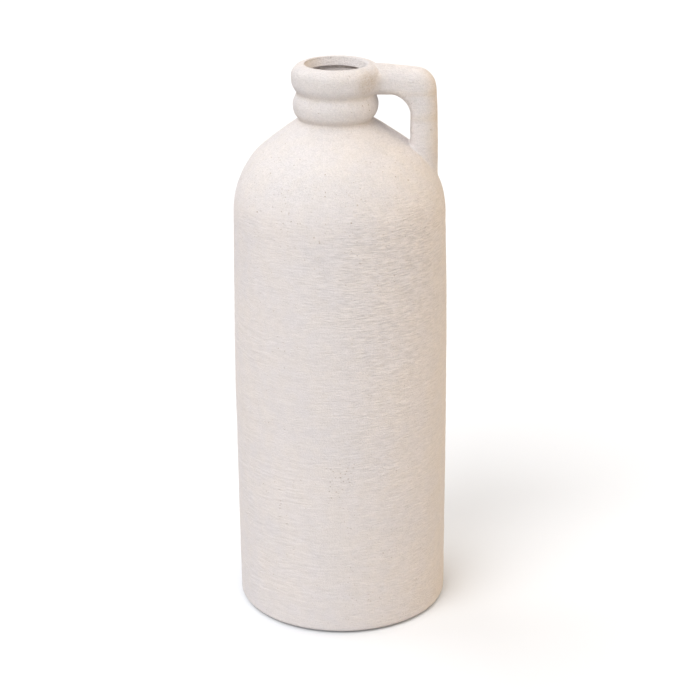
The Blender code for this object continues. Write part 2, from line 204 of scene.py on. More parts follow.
def lip_inside():
    """From the crest into the mouth, round the narrow slot under the lip's edge and down to the bore."""
    fall = quarter((LIP_CREST_R, HEIGHT), (LIP_BORE, HEIGHT - LIP_ROUND), True)
    edge = (LIP_EDGE_R, HEIGHT - LIP_DEPTH)
    deepest = (LIP_EDGE_R + SLOT_DEPTH, HEIGHT - LIP_DEPTH - SLOT_HEIGHT / 2)
    ledge = (LEDGE_R, HEIGHT - LIP_DEPTH - SLOT_HEIGHT)
    slot = np.concatenate([quarter(edge, deepest, True), quarter(deepest, ledge, False)[1:]])
    return np.concatenate([fall, slot, [(NECK_BORE, GROOVE_Z)]])


def spaced(points, gap):
    """The same line with points at even gaps, first and last kept."""
    along = np.concatenate([[0.0], np.cumsum(np.hypot(*np.diff(points, axis=0).T))])
    at = np.linspace(0.0, along[-1], max(int(round(along[-1] / gap)), 2) + 1)
    return np.stack([np.interp(at, along, points[:, k]) for k in (0, 1)], 1)


def softened(points, reach):
    """Rounds a line of evenly spaced points off over a few of them, ends held."""
    width = np.arange(-3 * reach, 3 * reach + 1)
    weight = np.exp(-0.5 * (width / reach) ** 2)
    padded = np.concatenate([2 * points[0] - points[3 * reach:0:-1], points,
                             2 * points[-1] - points[-2:-3 * reach - 2:-1]])
    return np.stack([np.convolve(padded[:, k], weight / weight.sum(), "valid") for k in (0, 1)], 1)


def skin_lines():
    """Outside of the whole vase from foot to bore, split at the members' joints, its creases softened."""
    lower, upper = roll_side()
    lines = [shoulder_side(0.0, CREASE_R), lower, np.concatenate([upper, lip_inside()[1:]])]
    fine = [spaced(line, FINE_ROW) for line in lines]
    ends = np.cumsum([len(line) - 1 for line in fine])
    whole = np.concatenate([fine[0][:-1], fine[1][:-1], fine[2]])
    row = np.arange(len(whole))
    groove = 1.0 - step(40.0, 110.0, np.abs(row - ends[1]))[:, None]
    outside = step(10.0, 70.0, np.argmax(whole[:, 1]) - row)[:, None]
    soft = softened(whole, CREASE_SOFT) * (1.0 - groove) + softened(whole, GROOVE_SOFT) * groove
    soft = soft * outside + softened(whole, LIP_SOFT) * (1.0 - outside)
    neck = [soft[:ends[0] + 1], soft[ends[0]:ends[1] + 1], soft[ends[1]:]]
    gaps = (BODY_ROW, NECK_ROW, NECK_ROW)
    return [spaced(body_side(), BODY_ROW)] + [spaced(line, gap) for line, gap in zip(neck, gaps)]


def clay_relief(u, z, r):
    """How far the hand-worked clay stands in or out of its true line: combing, dents and slow waves."""
    combed = 1.0 - 0.75 * step(*COMBING_FADES, z)
    drift = z + 1.8 * noise(u, z / 26, 22, 1) + 0.9 * noise(u, z / 9, 52, 2)
    patch = 0.35 + 0.65 * step(-0.5, 0.6, noise(u, z / 34, 9, 3))
    lines = 0.12 * noise(u, drift / 1.15, 46, 4) + 0.10 * noise(u, drift / 0.95, 84, 5)
    bands = 0.06 * noise(u, drift / 4.2, 20, 6)
    waves = 0.16 * noise(u, z / 48, 6, 7) + 0.10 * noise(u, z / 19, 14, 8)
    pats = 0.09 * noise(u, z / 6.5, 70, 9) * (1.0 - 0.6 * combed)
    slow = waves * np.clip(r / 60.0, 0.45, 1.0) + pats
    for much, rise, crest, turn, end in FULLER:
        slow = slow + much * step(rise, crest, z) * (1.0 - step(turn, end, z))
    return (lines * patch + bands) * combed + slow


def inside_relief(u, z):
    """Throwing marks inside."""
    return 0.12 * noise(u, z / 5.0, 5, 21) + 0.15 * noise(u, z / 24, 7, 22)


def ring_points(line, relief, columns=COLUMNS):
    """Turns a (radius, height) line into a grid of points, moved along the line's normal by the relief."""
    r, z = line[:, 0][:, None], line[:, 1][:, None]
    slope = np.gradient(line, axis=0)
    slope /= np.linalg.norm(slope, axis=1)[:, None]
    u = (np.arange(columns) / columns)[None, :]
    out = relief(u, z, r)
    r, z = r + out * slope[:, 1][:, None], z - out * slope[:, 0][:, None]
    return np.stack([r * np.cos(2 * pi * u) + lean(z), r * np.sin(2 * pi * u), z + 0.0 * u], 2)


def grid_normals(points):
    """Normals of a grid that wraps round."""
    across = np.roll(points, -1, 1) - np.roll(points, 1, 1)
    along = np.gradient(points, axis=0)
    normal = np.cross(across, along)
    return normal / np.maximum(np.linalg.norm(normal, axis=2), 1e-12)[:, :, None]


def mesh_piece(name, node, points, faces, mat, normals=None):
    """A smooth mesh from millimetre points, in place of a CAD node."""
    mesh = bpy.data.meshes.new(name)
    mesh.from_pydata((np.asarray(points) * MM).tolist(), [], faces)
    mesh.shade_smooth()
    if normals is not None:
        mesh.normals_split_custom_set_from_vertices(normals.tolist())
    mesh.materials.append(mat)
    made = bpy.data.objects.new(name, mesh)
    bpy.context.scene.collection.objects.link(made)
    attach(made, "root")
    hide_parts(node)
    return made


def grid_faces(rows, columns, closed):
    """Quads of a grid that wraps round, and from its last row to its first if closed."""
    i, j = np.meshgrid(np.arange(rows if closed else rows - 1), np.arange(columns), indexing="ij")
    n, k = (i + 1) % rows, (j + 1) % columns
    corners = [i * columns + j, i * columns + k, n * columns + k, n * columns + j]
    return np.stack(corners, 2).reshape(-1, 4).tolist()


def turned_piece(name, node, outside, normals, inside, mat):
    """A turned member: its share of the outer skin, closed by a line through its inside."""
    hidden = ring_points(inside, lambda u, z, r: inside_relief(u, z) * step(0.0, 4.0, z - FOOT_Z))
    points = np.concatenate([outside, hidden])
    every = np.concatenate([normals, grid_normals(hidden)])
    faces = grid_faces(len(points), COLUMNS, True)
    return mesh_piece(name, node, points.reshape(-1, 3), faces, mat, every.reshape(-1, 3))


def inside_lines():
    """The hidden lines that close each turned member, from the top of its outside to the bottom."""
    wall_z = np.linspace(SPRING_Z, SLAB_TOP + JOINT, 60)
    wall_r = np.interp(wall_z, [SLAB_TOP, BELLY_Z, SPRING_Z], [FOOT_R, BODY_R, SPRING_R]) - WALL
    foot = [(SLAB_R + JOINT, SLAB_TOP + JOINT), (SLAB_R + JOINT, FOOT_Z)]
    dome = shoulder_side(WALL, NECK_BORE)[::-1]
    throat = spaced(np.array([(NECK_BORE, CREASE_Z), tuple(dome[0])]), 1.0)[:-1]
    swell = (NECK_BORE + NECK_HOLLOW, (CREASE_Z + GROOVE_Z) / 2)
    bore = [quarter((NECK_BORE, GROOVE_Z), swell, True), quarter(swell, (NECK_BORE, CREASE_Z), False)[1:]]
    return (
        np.concatenate([np.stack([wall_r, wall_z], 1), foot]),
        np.concatenate([throat, spaced(dome, 2.0), [(SPRING_R - WALL, SPRING_Z)]]),
        spaced(np.concatenate(bore), 0.8),
        np.array([(NECK_BORE + 0.8, GROOVE_Z), (GROOVE_R - 1.0, GROOVE_Z)]),
    )


def make_vase(mat):
    """Body, shoulder and both rolls from one skin, whose line is returned."""
    lines = skin_lines()
    whole = np.concatenate([lines[0]] + [line[1:] for line in lines[1:]])
    inner = step(0.0, 6.0, np.arange(len(whole)) - np.argmax(whole[:, 1]))[:, None]

    def relief(u, z, r):
        return clay_relief(u, z, r) * (1 - inner) + inside_relief(u, z) * inner
    points = ring_points(whole, relief)
    points[:, :, 0] += MOUTH_SHIFT * inner * step(0.0, 12.0, points[:, :, 2] - GROOVE_Z)
    normals = grid_normals(points)
    cuts = np.cumsum([0] + [len(line) - 1 for line in lines])
    names = ("body", "shoulder", "lower_roll", "mouth_roll")
    nodes = ("body_wall", "shoulder_dome", "neck_ring", "mouth_ring")
    for k, inside in enumerate(inside_lines()):
        part = slice(cuts[k], cuts[k + 1] + 1)
        turned_piece(names[k], nodes[k], points[part], normals[part], inside, mat)
    return whole


def side_distance(p, line):
    """Signed distance of points from the turned outside, positive outside, and its gradient."""
    x, y = p[:, 0] - lean(p[:, 2]), p[:, 1]
    q = np.stack([np.hypot(x, y), p[:, 2]], 1)
    best, foot, side = np.full(len(q), 1e9), np.zeros_like(q), np.zeros_like(q)
    for a, b in zip(line, line[1:]):
        d = b - a
        t = np.clip(((q - a) @ d) / (d @ d), 0.0, 1.0)
        at = a + t[:, None] * d
        gap = np.hypot(*(q - at).T)
        near = gap < best
        best[near], foot[near], side[near] = gap[near], at[near], (d[1], -d[0])
    side /= np.linalg.norm(side, axis=1)[:, None]
    sign = np.where(((q - foot) * side).sum(1) < 0.0, -1.0, 1.0)
    away = sign[:, None] * (q - foot) / np.maximum(best, 0.05)[:, None]
    flat = np.where(best[:, None] > 0.05, away, side)
    r = np.maximum(q[:, 0], 1e-6)
    return sign * best, np.stack([flat[:, 0] * x / r, flat[:, 0] * y / r, flat[:, 1]], 1)


def bar_lines():
    """Side view of the handle: its outer and its inner line, run on into the roll and the shoulder."""
    sink_x, sink_z = 14.0, 343.0  # inside the roll and inside the shoulder
    foot_z = 383.0  # where the post's splay ends
    arm_x = LIP_SHIFT + LIP_CREST_R
    a, t = np.linspace(pi / 2, 0.0, 24), np.linspace(0.0, 1.0, 16)
    ox, oz = POST_OUT - POST_SPLAY - OUTER_CORNER[0], ARM_TOP - ARM_FALL - OUTER_CORNER[1]
    arm = np.stack([arm_x + (ox - arm_x) * t, ARM_TOP - ARM_FALL * t ** 1.5], 1)
    bend_x = ox + OUTER_CORNER[0] * abs(np.cos(a)) ** CORNER_POWER
    bend_z = oz + OUTER_CORNER[1] * np.sin(a) ** CORNER_POWER
    post = np.stack([POST_OUT - POST_SPLAY * (1 - t) ** 2, oz + (foot_z - oz) * t], 1)
    bend = np.stack([bend_x, bend_z], 1)
    outer = np.concatenate([[(sink_x, ARM_TOP)], arm[:-1], bend, post[1:], [(POST_OUT, sink_z)]])
    ix, iz = POST_IN - INNER_CORNER[0], ARM_UNDER - INNER_CORNER[1]
    corner = np.stack([ix + INNER_CORNER[0] * np.cos(a), iz + INNER_CORNER[1] * np.sin(a)], 1)
    return outer, np.concatenate([[(sink_x, ARM_UNDER)], corner, [(POST_IN, sink_z)]])


def flat_distance(q, loop):
    """Signed distance of (x, z) points from a closed clockwise line, negative inside, and its gradient."""
    best, inside = np.full(len(q), 1e9), np.zeros(len(q), bool)
    foot, side = np.zeros_like(q), np.zeros_like(q)
    for a, b in zip(loop, np.roll(loop, -1, 0)):
        d = b - a
        t = np.clip(((q - a) @ d) / (d @ d), 0.0, 1.0)
        at = a + t[:, None] * d
        gap = np.hypot(*(q - at).T)
        near = gap < best
        best[near], foot[near], side[near] = gap[near], at[near], (-d[1], d[0])
        if a[1] != b[1]:
            crosses = (a[1] > q[:, 1]) != (b[1] > q[:, 1])
            inside ^= crosses & (q[:, 0] < a[0] + (q[:, 1] - a[1]) * d[0] / d[1])
    side /= np.linalg.norm(side, axis=1)[:, None]
    sign = np.where(inside, -1.0, 1.0)
    away = sign[:, None] * (q - foot) / np.maximum(best, 0.02)[:, None]
    return sign * best, np.where(best[:, None] > 0.02, away, side)


def bar_distance(p, loop):
    """Signed distance from the bar, a side view with depth and rounded edges, and its gradient."""
    d, way = flat_distance(p[:, [0, 2]], loop)
    edge = np.where(way.sum(1) > 0.0, *BAR_EDGES)
    g = np.stack([d + edge, np.abs(p[:, 1]) - BAR_DEPTH / 2 + edge], 1)
    over = np.maximum(g, 0.0)
    far = np.hypot(*over.T)
    share = np.where((far > 0.0)[:, None], over / np.maximum(far, 1e-9)[:, None], g == g.max(1)[:, None])
    grad = np.stack([share[:, 0] * way[:, 0], share[:, 1] * np.sign(p[:, 1]), share[:, 0] * way[:, 1]], 1)
    return far + np.minimum(g.max(1), 0.0) - edge, grad


def spaced_by(points, t):
    """Points at shares t of a line's length."""
    along = np.concatenate([[0.0], np.cumsum(np.hypot(*np.diff(points, axis=0).T))])
    return np.stack([np.interp(np.asarray(t) * along[-1], along, points[:, k]) for k in (0, 1)], 1)


def bar_tracks(outer, inner, loop, neck):
    """Tracks along the bar, each from where it leaves the roll to where it enters the shoulder."""
    t = np.linspace(0.0, 1.0, BAR_FINE)
    out_line, in_line = spaced_by(outer, t), spaced_by(inner, t)
    middle, half = (out_line + in_line) / 2, (out_line - in_line) / 2
    turn = 2 * pi * bar_turns()
    rim = np.stack([np.cos(turn), np.sin(turn)], 1)
    rim /= ((np.abs(rim) ** 5).sum(1) ** 0.2)[:, None]
    track = np.stack([middle[:, None, 0] + half[:, None, 0] * rim[None, :, 1],
                      np.broadcast_to(BAR_DEPTH / 2 * rim[:, 0], (BAR_FINE, BAR_AROUND)),
                      middle[:, None, 1] + half[:, None, 1] * rim[None, :, 1]], 2)
    for _ in range(4):
        d, grad = bar_distance(track.reshape(-1, 3), loop)
        track = track - (d[:, None] * grad).reshape(track.shape)
    depth = side_distance(track.reshape(-1, 3), neck)[0].reshape(BAR_FINE, BAR_AROUND)
    share = np.linspace(-1.0, 1.0, BAR_ROWS)
    closer = 0.5 + 0.5 * np.sin(share * pi / 2) * 0.35 + 0.5 * share * 0.65  # rows crowd towards the ends
    found = np.zeros((BAR_ROWS, BAR_AROUND, 3))
    for j in range(BAR_AROUND):
        first = np.flatnonzero(depth[:BAR_FINE // 2, j] < 0.0)[-1]
        last = BAR_FINE // 2 + np.flatnonzero(depth[BAR_FINE // 2:, j] < 0.0)[0]
        begin = first + depth[first, j] / (depth[first, j] - depth[first + 1, j])
        finish = last - depth[last, j] / (depth[last, j] - depth[last - 1, j])
        at = begin + (finish - begin) * closer
        for k in range(3):
            found[:, j, k] = np.interp(at, np.arange(BAR_FINE), track[:, j, k])
    return found


def bar_turns():
    """Places round the bar, in turns."""
    return (np.arange(BAR_AROUND) + 0.5) / BAR_AROUND


def facing(p, loop, neck):
    """Normals of the bar and of the turned clay at points, and how far their joint is smoothed there."""
    bar_n, clay_n = bar_distance(p, loop)[1], side_distance(p, neck)[1]
    along = (bar_n * clay_n).sum(1)
    reach = BLEND_FOOT + (BLEND_ARM - BLEND_FOOT) * step(*BLEND_CHANGES, p[:, 2])
    reach = reach * np.clip(1.0 - along, 0.04, 1.0) * (1.0 - 0.85 * step(0.2, 0.9, np.abs(bar_n[:, 2])))
    return bar_n, clay_n, along, reach


def skirt(edge, loop, neck):
    """Rows from the line where bar and clay meet out over the clay, or into it where they lie alike."""
    bar_n, clay_n, along, reach = facing(edge, loop, neck)
    out = bar_n - along[:, None] * clay_n
    out /= np.maximum(np.linalg.norm(out, axis=1), 1e-6)[:, None]
    over = 1.0 - step(0.45, 0.8, along)
    way = over[:, None] * out * (reach[:, None] + 0.3) - (1.0 - over)[:, None] * clay_n * 3.0
    share = np.arange(1, BAR_APRON + 1) / (BAR_APRON - 1)
    rows = np.stack([edge + way * w for w in share])
    return rows, np.tile(reach, (BAR_APRON, 1)), np.tile(over, (BAR_APRON, 1))


def drawn_in(p, reach, free, loop, neck):
    """Moves points on to the smooth union of bar and clay, as far as each is free to move."""
    for _ in range(8):
        (a, na), (b, nb) = bar_distance(p, loop), side_distance(p, neck)
        h = np.maximum(reach - np.abs(a - b), 0.0) / reach
        f = np.minimum(a, b) - h * h * reach / 4
        share = np.where(a < b, 1 - h / 2, h / 2)[:, None]
        grad = share * na + (1 - share) * nb
        p = p - free * np.clip(f, -2.0, 2.0)[:, None] * grad / np.maximum((grad ** 2).sum(1), 0.1)[:, None]
    return p


def make_handle(mat, skin):
    """A rounded bar, its surface drawn out to meet the roll and the shoulder in smooth hollows."""
    outer, inner = bar_lines()
    loop = np.concatenate([outer, inner[::-1]])
    neck = skin[skin[:, 1] > SPRING_Z - 9.0]
    neck = spaced(neck[:np.argmax(neck[:, 1]) + 10], 0.7)

    # the bar's rows, a skirt at each end, and the reach of the smoothing, which fades along the bar
    base = bar_tracks(outer, inner, loop, neck)
    top, top_reach, top_over = skirt(base[0], loop, neck)
    low, low_reach, low_over = skirt(base[-1], loop, neck)
    bar_reach = facing(base.reshape(-1, 3), loop, neck)[3].reshape(BAR_ROWS, BAR_AROUND)
    fade = np.exp(-0.5 * (np.arange(BAR_ROWS) / 14.0) ** 2)[:, None]
    bar_reach = bar_reach * (1 - fade) + bar_reach[0] * fade
    bar_reach = bar_reach * (1 - fade[::-1]) + bar_reach[-1] * fade[::-1]
    reach = np.concatenate([top_reach[::-1], bar_reach, low_reach])
    free = np.concatenate([top_over, np.ones(bar_reach.shape), low_over]).reshape(-1, 1)
    rows = np.concatenate([top[::-1], base, low])
    k = reach.reshape(-1)
    p = drawn_in(rows.reshape(-1, 3), k, free, loop, neck)

    # relief of the clay over the joints and of the bar between them
    (a, na), (b, nb) = bar_distance(p, loop), side_distance(p, neck)
    on_clay = step(-0.3, 1.0, (a - b) / k)[:, None]
    x, y, z = p[:, 0] - lean(p[:, 2]), p[:, 1], p[:, 2]
    clay = clay_relief(np.arctan2(y, x) / (2 * pi), z, np.hypot(x, y)) - 0.35 * step(0.6, 1.0, (a - b) / k)
    u, v = np.tile(bar_turns(), len(reach)), np.repeat(np.arange(len(reach)), BAR_AROUND) * 1.2
    own = 0.14 * noise(u, v / 22, 5, 51) + 0.07 * noise(u, v / 8, 13, 52) + 0.03 * noise(u, v / 3, 32, 53)
    p = p + nb * clay[:, None] * on_clay + na * own[:, None] * (1 - on_clay)

    # both ends are turned into the clay and closed there
    grid, inward = p.reshape(rows.shape), nb.reshape(rows.shape)
    grid = np.concatenate([grid[:1] - 2.5 * inward[:1], grid, grid[-1:] - 2.5 * inward[-1:]])
    faces = grid_faces(len(grid), BAR_AROUND, False)
    count = len(grid) * BAR_AROUND
    for j in range(BAR_AROUND):
        faces.append([j, count, (j + 1) % BAR_AROUND])
    for j in range(count - BAR_AROUND, count):
        faces.append([count - BAR_AROUND + (j + 1) % BAR_AROUND, count + 1, j])
    p = np.concatenate([grid.reshape(-1, 3), [grid[0].mean(0)], [grid[-1].mean(0)]])
    return mesh_piece("handle_bar", "handle", p, faces, mat)


def make_base(mat):
    """The bottom disc, hollowed a little underneath."""
    rim, hollow = SLAB_R - SLAB_RIM, FOOT_Z + SLAB_RECESS
    under = [(EYE_R, hollow), (rim - RECESS_SLOPE, hollow), (rim, FOOT_Z), (SLAB_R - SLAB_EDGE, FOOT_Z)]
    line = np.array(under + [(SLAB_R, FOOT_Z + SLAB_EDGE), (SLAB_R, SLAB_TOP), (EYE_R, SLAB_TOP)])
    line = np.concatenate([spaced(np.stack(pair), 1.2)[:-1] for pair in zip(line, line[1:])] + [line[-1:]])

    def relief(u, z, r):
        pats = 0.05 * noise(u, r / 3.0, 60, 31) + 0.04 * noise(u, r / 9.0, 16, 32)
        return pats * step(2.0, 12.0, r) - 0.05
    points = ring_points(line, relief, BASE_COLUMNS).reshape(-1, 3)
    faces = grid_faces(len(line), BASE_COLUMNS, True)
    return mesh_piece("base", "base_slab", points, faces, mat)


def make_pad(index, mat):
    """A stamped felt disc with a soft, slightly ragged edge."""
    line = np.concatenate([
        [(EYE_R, 0.0), (PAD_R / 3, 0.0), (PAD_R * 2 / 3, 0.0)],
        quarter((PAD_R - PAD_EDGE, 0.0), (PAD_R, PAD_EDGE), True, 6),
        quarter((PAD_R, PAD_THICKNESS - PAD_EDGE), (PAD_R - PAD_EDGE, PAD_THICKNESS), False, 6),
        [(PAD_R * 2 / 3, PAD_THICKNESS), (PAD_R / 3, PAD_THICKNESS), (EYE_R, PAD_THICKNESS)]])
    u = (np.arange(PAD_COLUMNS) / PAD_COLUMNS)[None, :]
    r, z = line[:, :1], line[:, 1:]
    r = r + (0.18 * noise(u, z / 0.4 + 40 * index, 60, 41) - 0.1) * step(7.0, PAD_R, r)
    z = z + 0.05 * noise(u, r / 1.2 + 40 * index, 30, 42) * step(0.0, 2.0, r)
    a = 2 * pi * (index - 0.5) / PAD_COUNT
    x, y = PAD_CIRCLE * cos(a) + r * np.cos(2 * pi * u), PAD_CIRCLE * sin(a) + r * np.sin(2 * pi * u)
    points = np.stack([x, y, np.clip(z, 0.0, PAD_THICKNESS) + 0.0 * u], 2).reshape(-1, 3)
    faces = grid_faces(len(line), PAD_COLUMNS, True)
    return mesh_piece("felt_%d" % index, "felt_pad_%d" % index, points, faces, mat)


class Tree:
    """A material's nodes, added one by one."""

    def __init__(self, name):
        self.material = bpy.data.materials.new(name)
        self.material.use_nodes = True
        self.tree = self.material.node_tree
        self.shader = self.tree.nodes["Principled BSDF"]

    def put(self, kind, inputs=(), **settings):
        node = self.tree.nodes.new("ShaderNode" + kind)
        for key, value in settings.items():
            setattr(node, key, value)
        for key, value in dict(inputs).items():
            self.feed(node.inputs[key], value)
        return node

    def feed(self, socket, value):
        if isinstance(value, bpy.types.NodeSocket):
            self.tree.links.new(value, socket)
        else:
            socket.default_value = value

    def math(self, operation, a, b=0.0):
        return self.put("Math", {0: a, 1: b}, operation=operation).outputs[0]

    def plus(self, first, *others):
        for value in others:
            first = self.math("ADD", first, value)
        return first

    def times(self, first, *others):
        for value in others:
            first = self.math("MULTIPLY", first, value)
        return first

    def vector(self, operation, a, b):
        return self.put("VectorMath", {0: a, 1: b}, operation=operation).outputs[0]

    def bump(self, height):
        made = self.put("Bump", {"Strength": 1.0, "Distance": MM, "Height": height})
        self.feed(self.shader.inputs["Normal"], made.outputs[0])

    def remap(self, value, low, high, to_low=0.0, to_high=1.0):
        inputs = {"Value": value, "From Min": low, "From Max": high, "To Min": to_low, "To Max": to_high}
        return self.put("MapRange", inputs, interpolation_type="SMOOTHSTEP").outputs[0]

    def mix(self, factor, a, b, blend="MIX"):
        node = self.put("Mix", {0: factor, 6: a, 7: b}, data_type="RGBA", blend_type=blend)
        return node.outputs[2]

    def noise(self, vector, scale, detail=2.0, roughness=0.5):
        inputs = {"Vector": vector, "Scale": scale, "Detail": detail, "Roughness": roughness}
        return self.put("TexNoise", inputs).outputs[0]


def near(t, place, centre, reach):
    """1 near a place on either side of the handle's plane, easing to 0 at a distance from it."""
    x, y, z = t.put("SeparateXYZ", {0: place}).outputs
    folded = t.put("CombineXYZ", {0: x, 1: t.math("ABSOLUTE", y), 2: z}).outputs[0]
    gap = t.vector("MULTIPLY", t.vector("SUBTRACT", folded, centre), tuple(1.0 / r for r in reach))
    far = t.put("VectorMath", {0: gap}, operation="LENGTH").outputs[1]
    return t.remap(far, 0.35, 1.0, 1.0, 0.0)


def combed_lines(t, place, side, height):
    """Combed lines round the clay, and their depth: most at the upper right, little on shoulder and neck."""
    sway = t.put("TexNoise", {"Vector": place, "Scale": 38.0, "Detail": 2.0}).outputs[1]
    drawn = t.put("Mapping", {"Vector": place, "Scale": (140.0, 140.0, 1000.0)}).outputs[0]
    wavy = t.vector("ADD", drawn, t.vector("MULTIPLY", sway, (0.0, 0.0, 3.2)))
    depth = t.times(t.remap(side, -0.04, 0.065, 0.58, 2.2), t.remap(height, 0.06, 0.33, 0.74, 1.2))
    upper = t.times(t.remap(height, 0.22, 0.30), t.remap(side, -0.05, 0.03, 0.0, 0.8))
    edge = t.remap(side, 0.058, 0.084, 1.0, 0.55)
    depth = t.times(t.plus(depth, upper), edge, t.remap(height, 0.335, 0.372, 1.0, 0.28))
    return t.noise(wavy, 1.0, 2.0, 0.65), depth


def clay_tone_and_painted_shade(t, place, side, height):
    """The clay's colour with painted shade: warm and cool clouds, painted shade in the creases, and painted
    warm light and shade towards the handle and the right-hand side.
    """
    clouds = t.remap(t.noise(place, 16.0, 3.0), 0.35, 0.65)
    colour = t.mix(clouds, COOL_CLAY, WARM_CLAY)
    # painted shade: the clay darkened and warmed in bands along the neck's creases
    for crease, above, below in CREASE_SHADE_BANDS:
        rise = t.remap(height, crease - below, crease)
        fall = t.remap(height, crease, crease + above, 1.0, 0.0)
        colour = t.mix(t.times(rise, fall), colour, CREASE_SHADE_CLAY)
    tints = t.remap(t.noise(place, 75.0, 2.0), 0.36, 0.64)
    colour = t.mix(1.0, colour, t.mix(tints, COOL_TINT, WARM_TINT), "MULTIPLY")
    colour = t.mix(t.remap(height, 0.335, 0.375), colour, SHOULDER_TINT, "MULTIPLY")
    # painted warm light on the handle's far part, then painted warm shade on everything towards +X
    handle = t.times(t.remap(side, 0.058, 0.082), t.remap(height, 0.365, 0.385))
    colour = t.mix(handle, colour, HANDLE_WARM_LIGHT_TINT, "MULTIPLY")
    return t.mix(t.remap(side, 0.060, 0.083), colour, SIDE_WARM_SHADE_TINT, "MULTIPLY")


def iron_specks(t, place, height):
    """Scattered specks, larger and darker from the upper body up."""
    cells = t.put("TexVoronoi", {"Vector": place, "Scale": 210.0})
    draw, width, weight = t.put("SeparateColor", {0: cells.outputs["Color"]}).outputs
    chosen = t.math("GREATER_THAN", draw, 0.70)
    size = t.plus(t.times(width, 0.10), t.remap(height, 0.26, 0.33, 0.06, 0.10))
    strength = t.times(t.plus(t.times(weight, 0.30), 0.18), t.remap(height, 0.26, 0.33, 1.0, 1.9))
    return t.times(t.remap(cells.outputs["Distance"], 0.03, size, 1.0, 0.0), chosen, strength)


def pinholes(t, place, height):
    """Small pits in patches, most of them round the shoulder's turn."""
    cells = t.put("TexVoronoi", {"Vector": place, "Scale": 330.0})
    chosen = t.math("GREATER_THAN", t.put("SeparateColor", {0: cells.outputs["Color"]}).outputs[1], 0.62)
    clouds = t.remap(t.noise(place, 30.0, 2.0), 0.45, 0.68)
    patch = t.math("MAXIMUM", clouds, near(t, place, PITS_AT, PITS_REACH))
    turn = t.times(t.remap(height, 0.27, 0.33, 0.0, 0.6), t.remap(height, 0.36, 0.39, 1.0, 0.3))
    dot = t.remap(cells.outputs["Distance"], 0.10, 0.22, 1.0, 0.0)
    return t.times(dot, chosen, t.math("MAXIMUM", patch, turn))


def clay_material():
    """Matte sandy clay: clouds, grain, combed lines, bared sand, iron specks and pinholes, with painted
    shade in creases and pits and on the right-hand side, and painted light on the handle.
    """
    t = Tree("sand_clay")
    place = t.put("TexCoord").outputs["Object"]
    side, _, height = t.put("SeparateXYZ", {0: place}).outputs
    mottle, grain = t.noise(place, 130.0, 4.0, 0.6), t.noise(place, 1050.0, 2.0, 0.6)
    lines, depth = combed_lines(t, place, side, height)
    sandy = t.remap(height, 0.335, 0.375)
    lumps = t.times(t.plus(t.noise(place, 400.0, 1.0), -0.5), sandy)
    joint = near(t, place, ROUGH_AT, ROUGH_REACH)
    hole = pinholes(t, place, height)

    # the texture's light and dark, and painted light that makes the handle's post and arm paler
    coarse = t.times(t.plus(grain, -0.5), t.remap(height, 0.340, 0.375, 0.0, 0.16))
    # painted light: the handle made paler, lifting the shade that falls on it
    post = t.times(t.remap(side, 0.030, 0.048, 0.0, 0.05), t.remap(side, 0.070, 0.082, 1.0, 0.0))
    painted_handle_light = t.times(post, t.remap(height, 0.375, 0.392))
    shade = t.plus(t.times(mottle, 0.12), t.times(grain, 0.28), t.times(t.plus(lines, -0.5), depth, 0.26))
    shade = t.plus(shade, coarse, t.times(lumps, 0.12), painted_handle_light, t.remap(height, 0.345, 0.40, 0.78, 0.808))
    grey = t.put("CombineColor", {0: shade, 1: shade, 2: shade}).outputs[0]
    colour = t.mix(1.0, clay_tone_and_painted_shade(t, place, side, height), grey, "MULTIPLY")

    # coarse sand bared beside the arm, specks, and painted shade in the pits
    sand = t.remap(t.noise(place, 800.0, 2.0, 0.6), 0.35, 0.68, 0.06, 0.50)
    colour = t.mix(t.times(joint, sand), colour, BARED_SAND)
    colour = t.mix(iron_specks(t, place, height), colour, IRON_SPECK)
    # painted shade inside the pinholes
    colour = t.mix(t.times(hole, 0.5), colour, PIT_SHADE)
    t.feed(t.shader.inputs["Base Color"], colour)
    t.feed(t.shader.inputs["Roughness"], t.remap(mottle, 0.2, 0.8, 0.82, 0.97))
    rough = t.plus(t.times(sandy, 0.42), t.times(joint, 0.25), t.remap(side, -0.08, 0.08, 0.18, 0.60))
    rough = t.plus(rough, t.remap(height, 0.395, 0.415, 0.0, 0.12))
    relief = t.plus(t.times(grain, rough), t.times(lines, depth, 0.36), t.times(hole, -0.30))
    t.bump(t.plus(relief, t.times(lumps, 0.4)))
    t.shader.inputs["Specular IOR Level"].default_value = 0.25
    return t.material


def felt_material():
    """Dark pressed felt with matted fibres."""
    t = Tree("pressed_felt")
    place = t.put("TexCoord").outputs["Object"]
    lain = t.put("Mapping", {"Vector": place, "Scale": (1.0, 1.0, 3.0)}).outputs[0]
    fibres = t.noise(lain, 1500.0, 5.0, 0.7)
    clumps = t.remap(t.noise(place, 260.0, 3.0), 0.3, 0.75, 0.0, 0.35)
    colour = t.mix(t.remap(fibres, 0.3, 0.7), (0.070, 0.064, 0.058, 1.0), (0.170, 0.155, 0.140, 1.0))
    t.feed(t.shader.inputs["Base Color"], t.mix(clumps, colour, (0.10, 0.09, 0.08, 1.0)))
    t.feed(t.shader.inputs["Roughness"], t.remap(fibres, 0.2, 0.8, 0.92, 1.0))
    t.bump(t.times(fibres, 0.3))
    t.shader.inputs["Sheen Weight"].default_value = 0.3
    return t.material


def seen_directly(nodes, links):
    """1 for what the camera sees, itself or in gloss or glass, and 0 for what only lights the object."""
    path = nodes.new("ShaderNodeLightPath")
    total = path.outputs["Is Camera Ray"]
    for name in ("Is Glossy Ray", "Is Transmission Ray"):
        join = nodes.new("ShaderNodeMath")
        join.operation = "MAXIMUM"
        links.new(total, join.inputs[0])
        links.new(path.outputs[name], join.inputs[1])
        total = join.outputs[0]
    return total


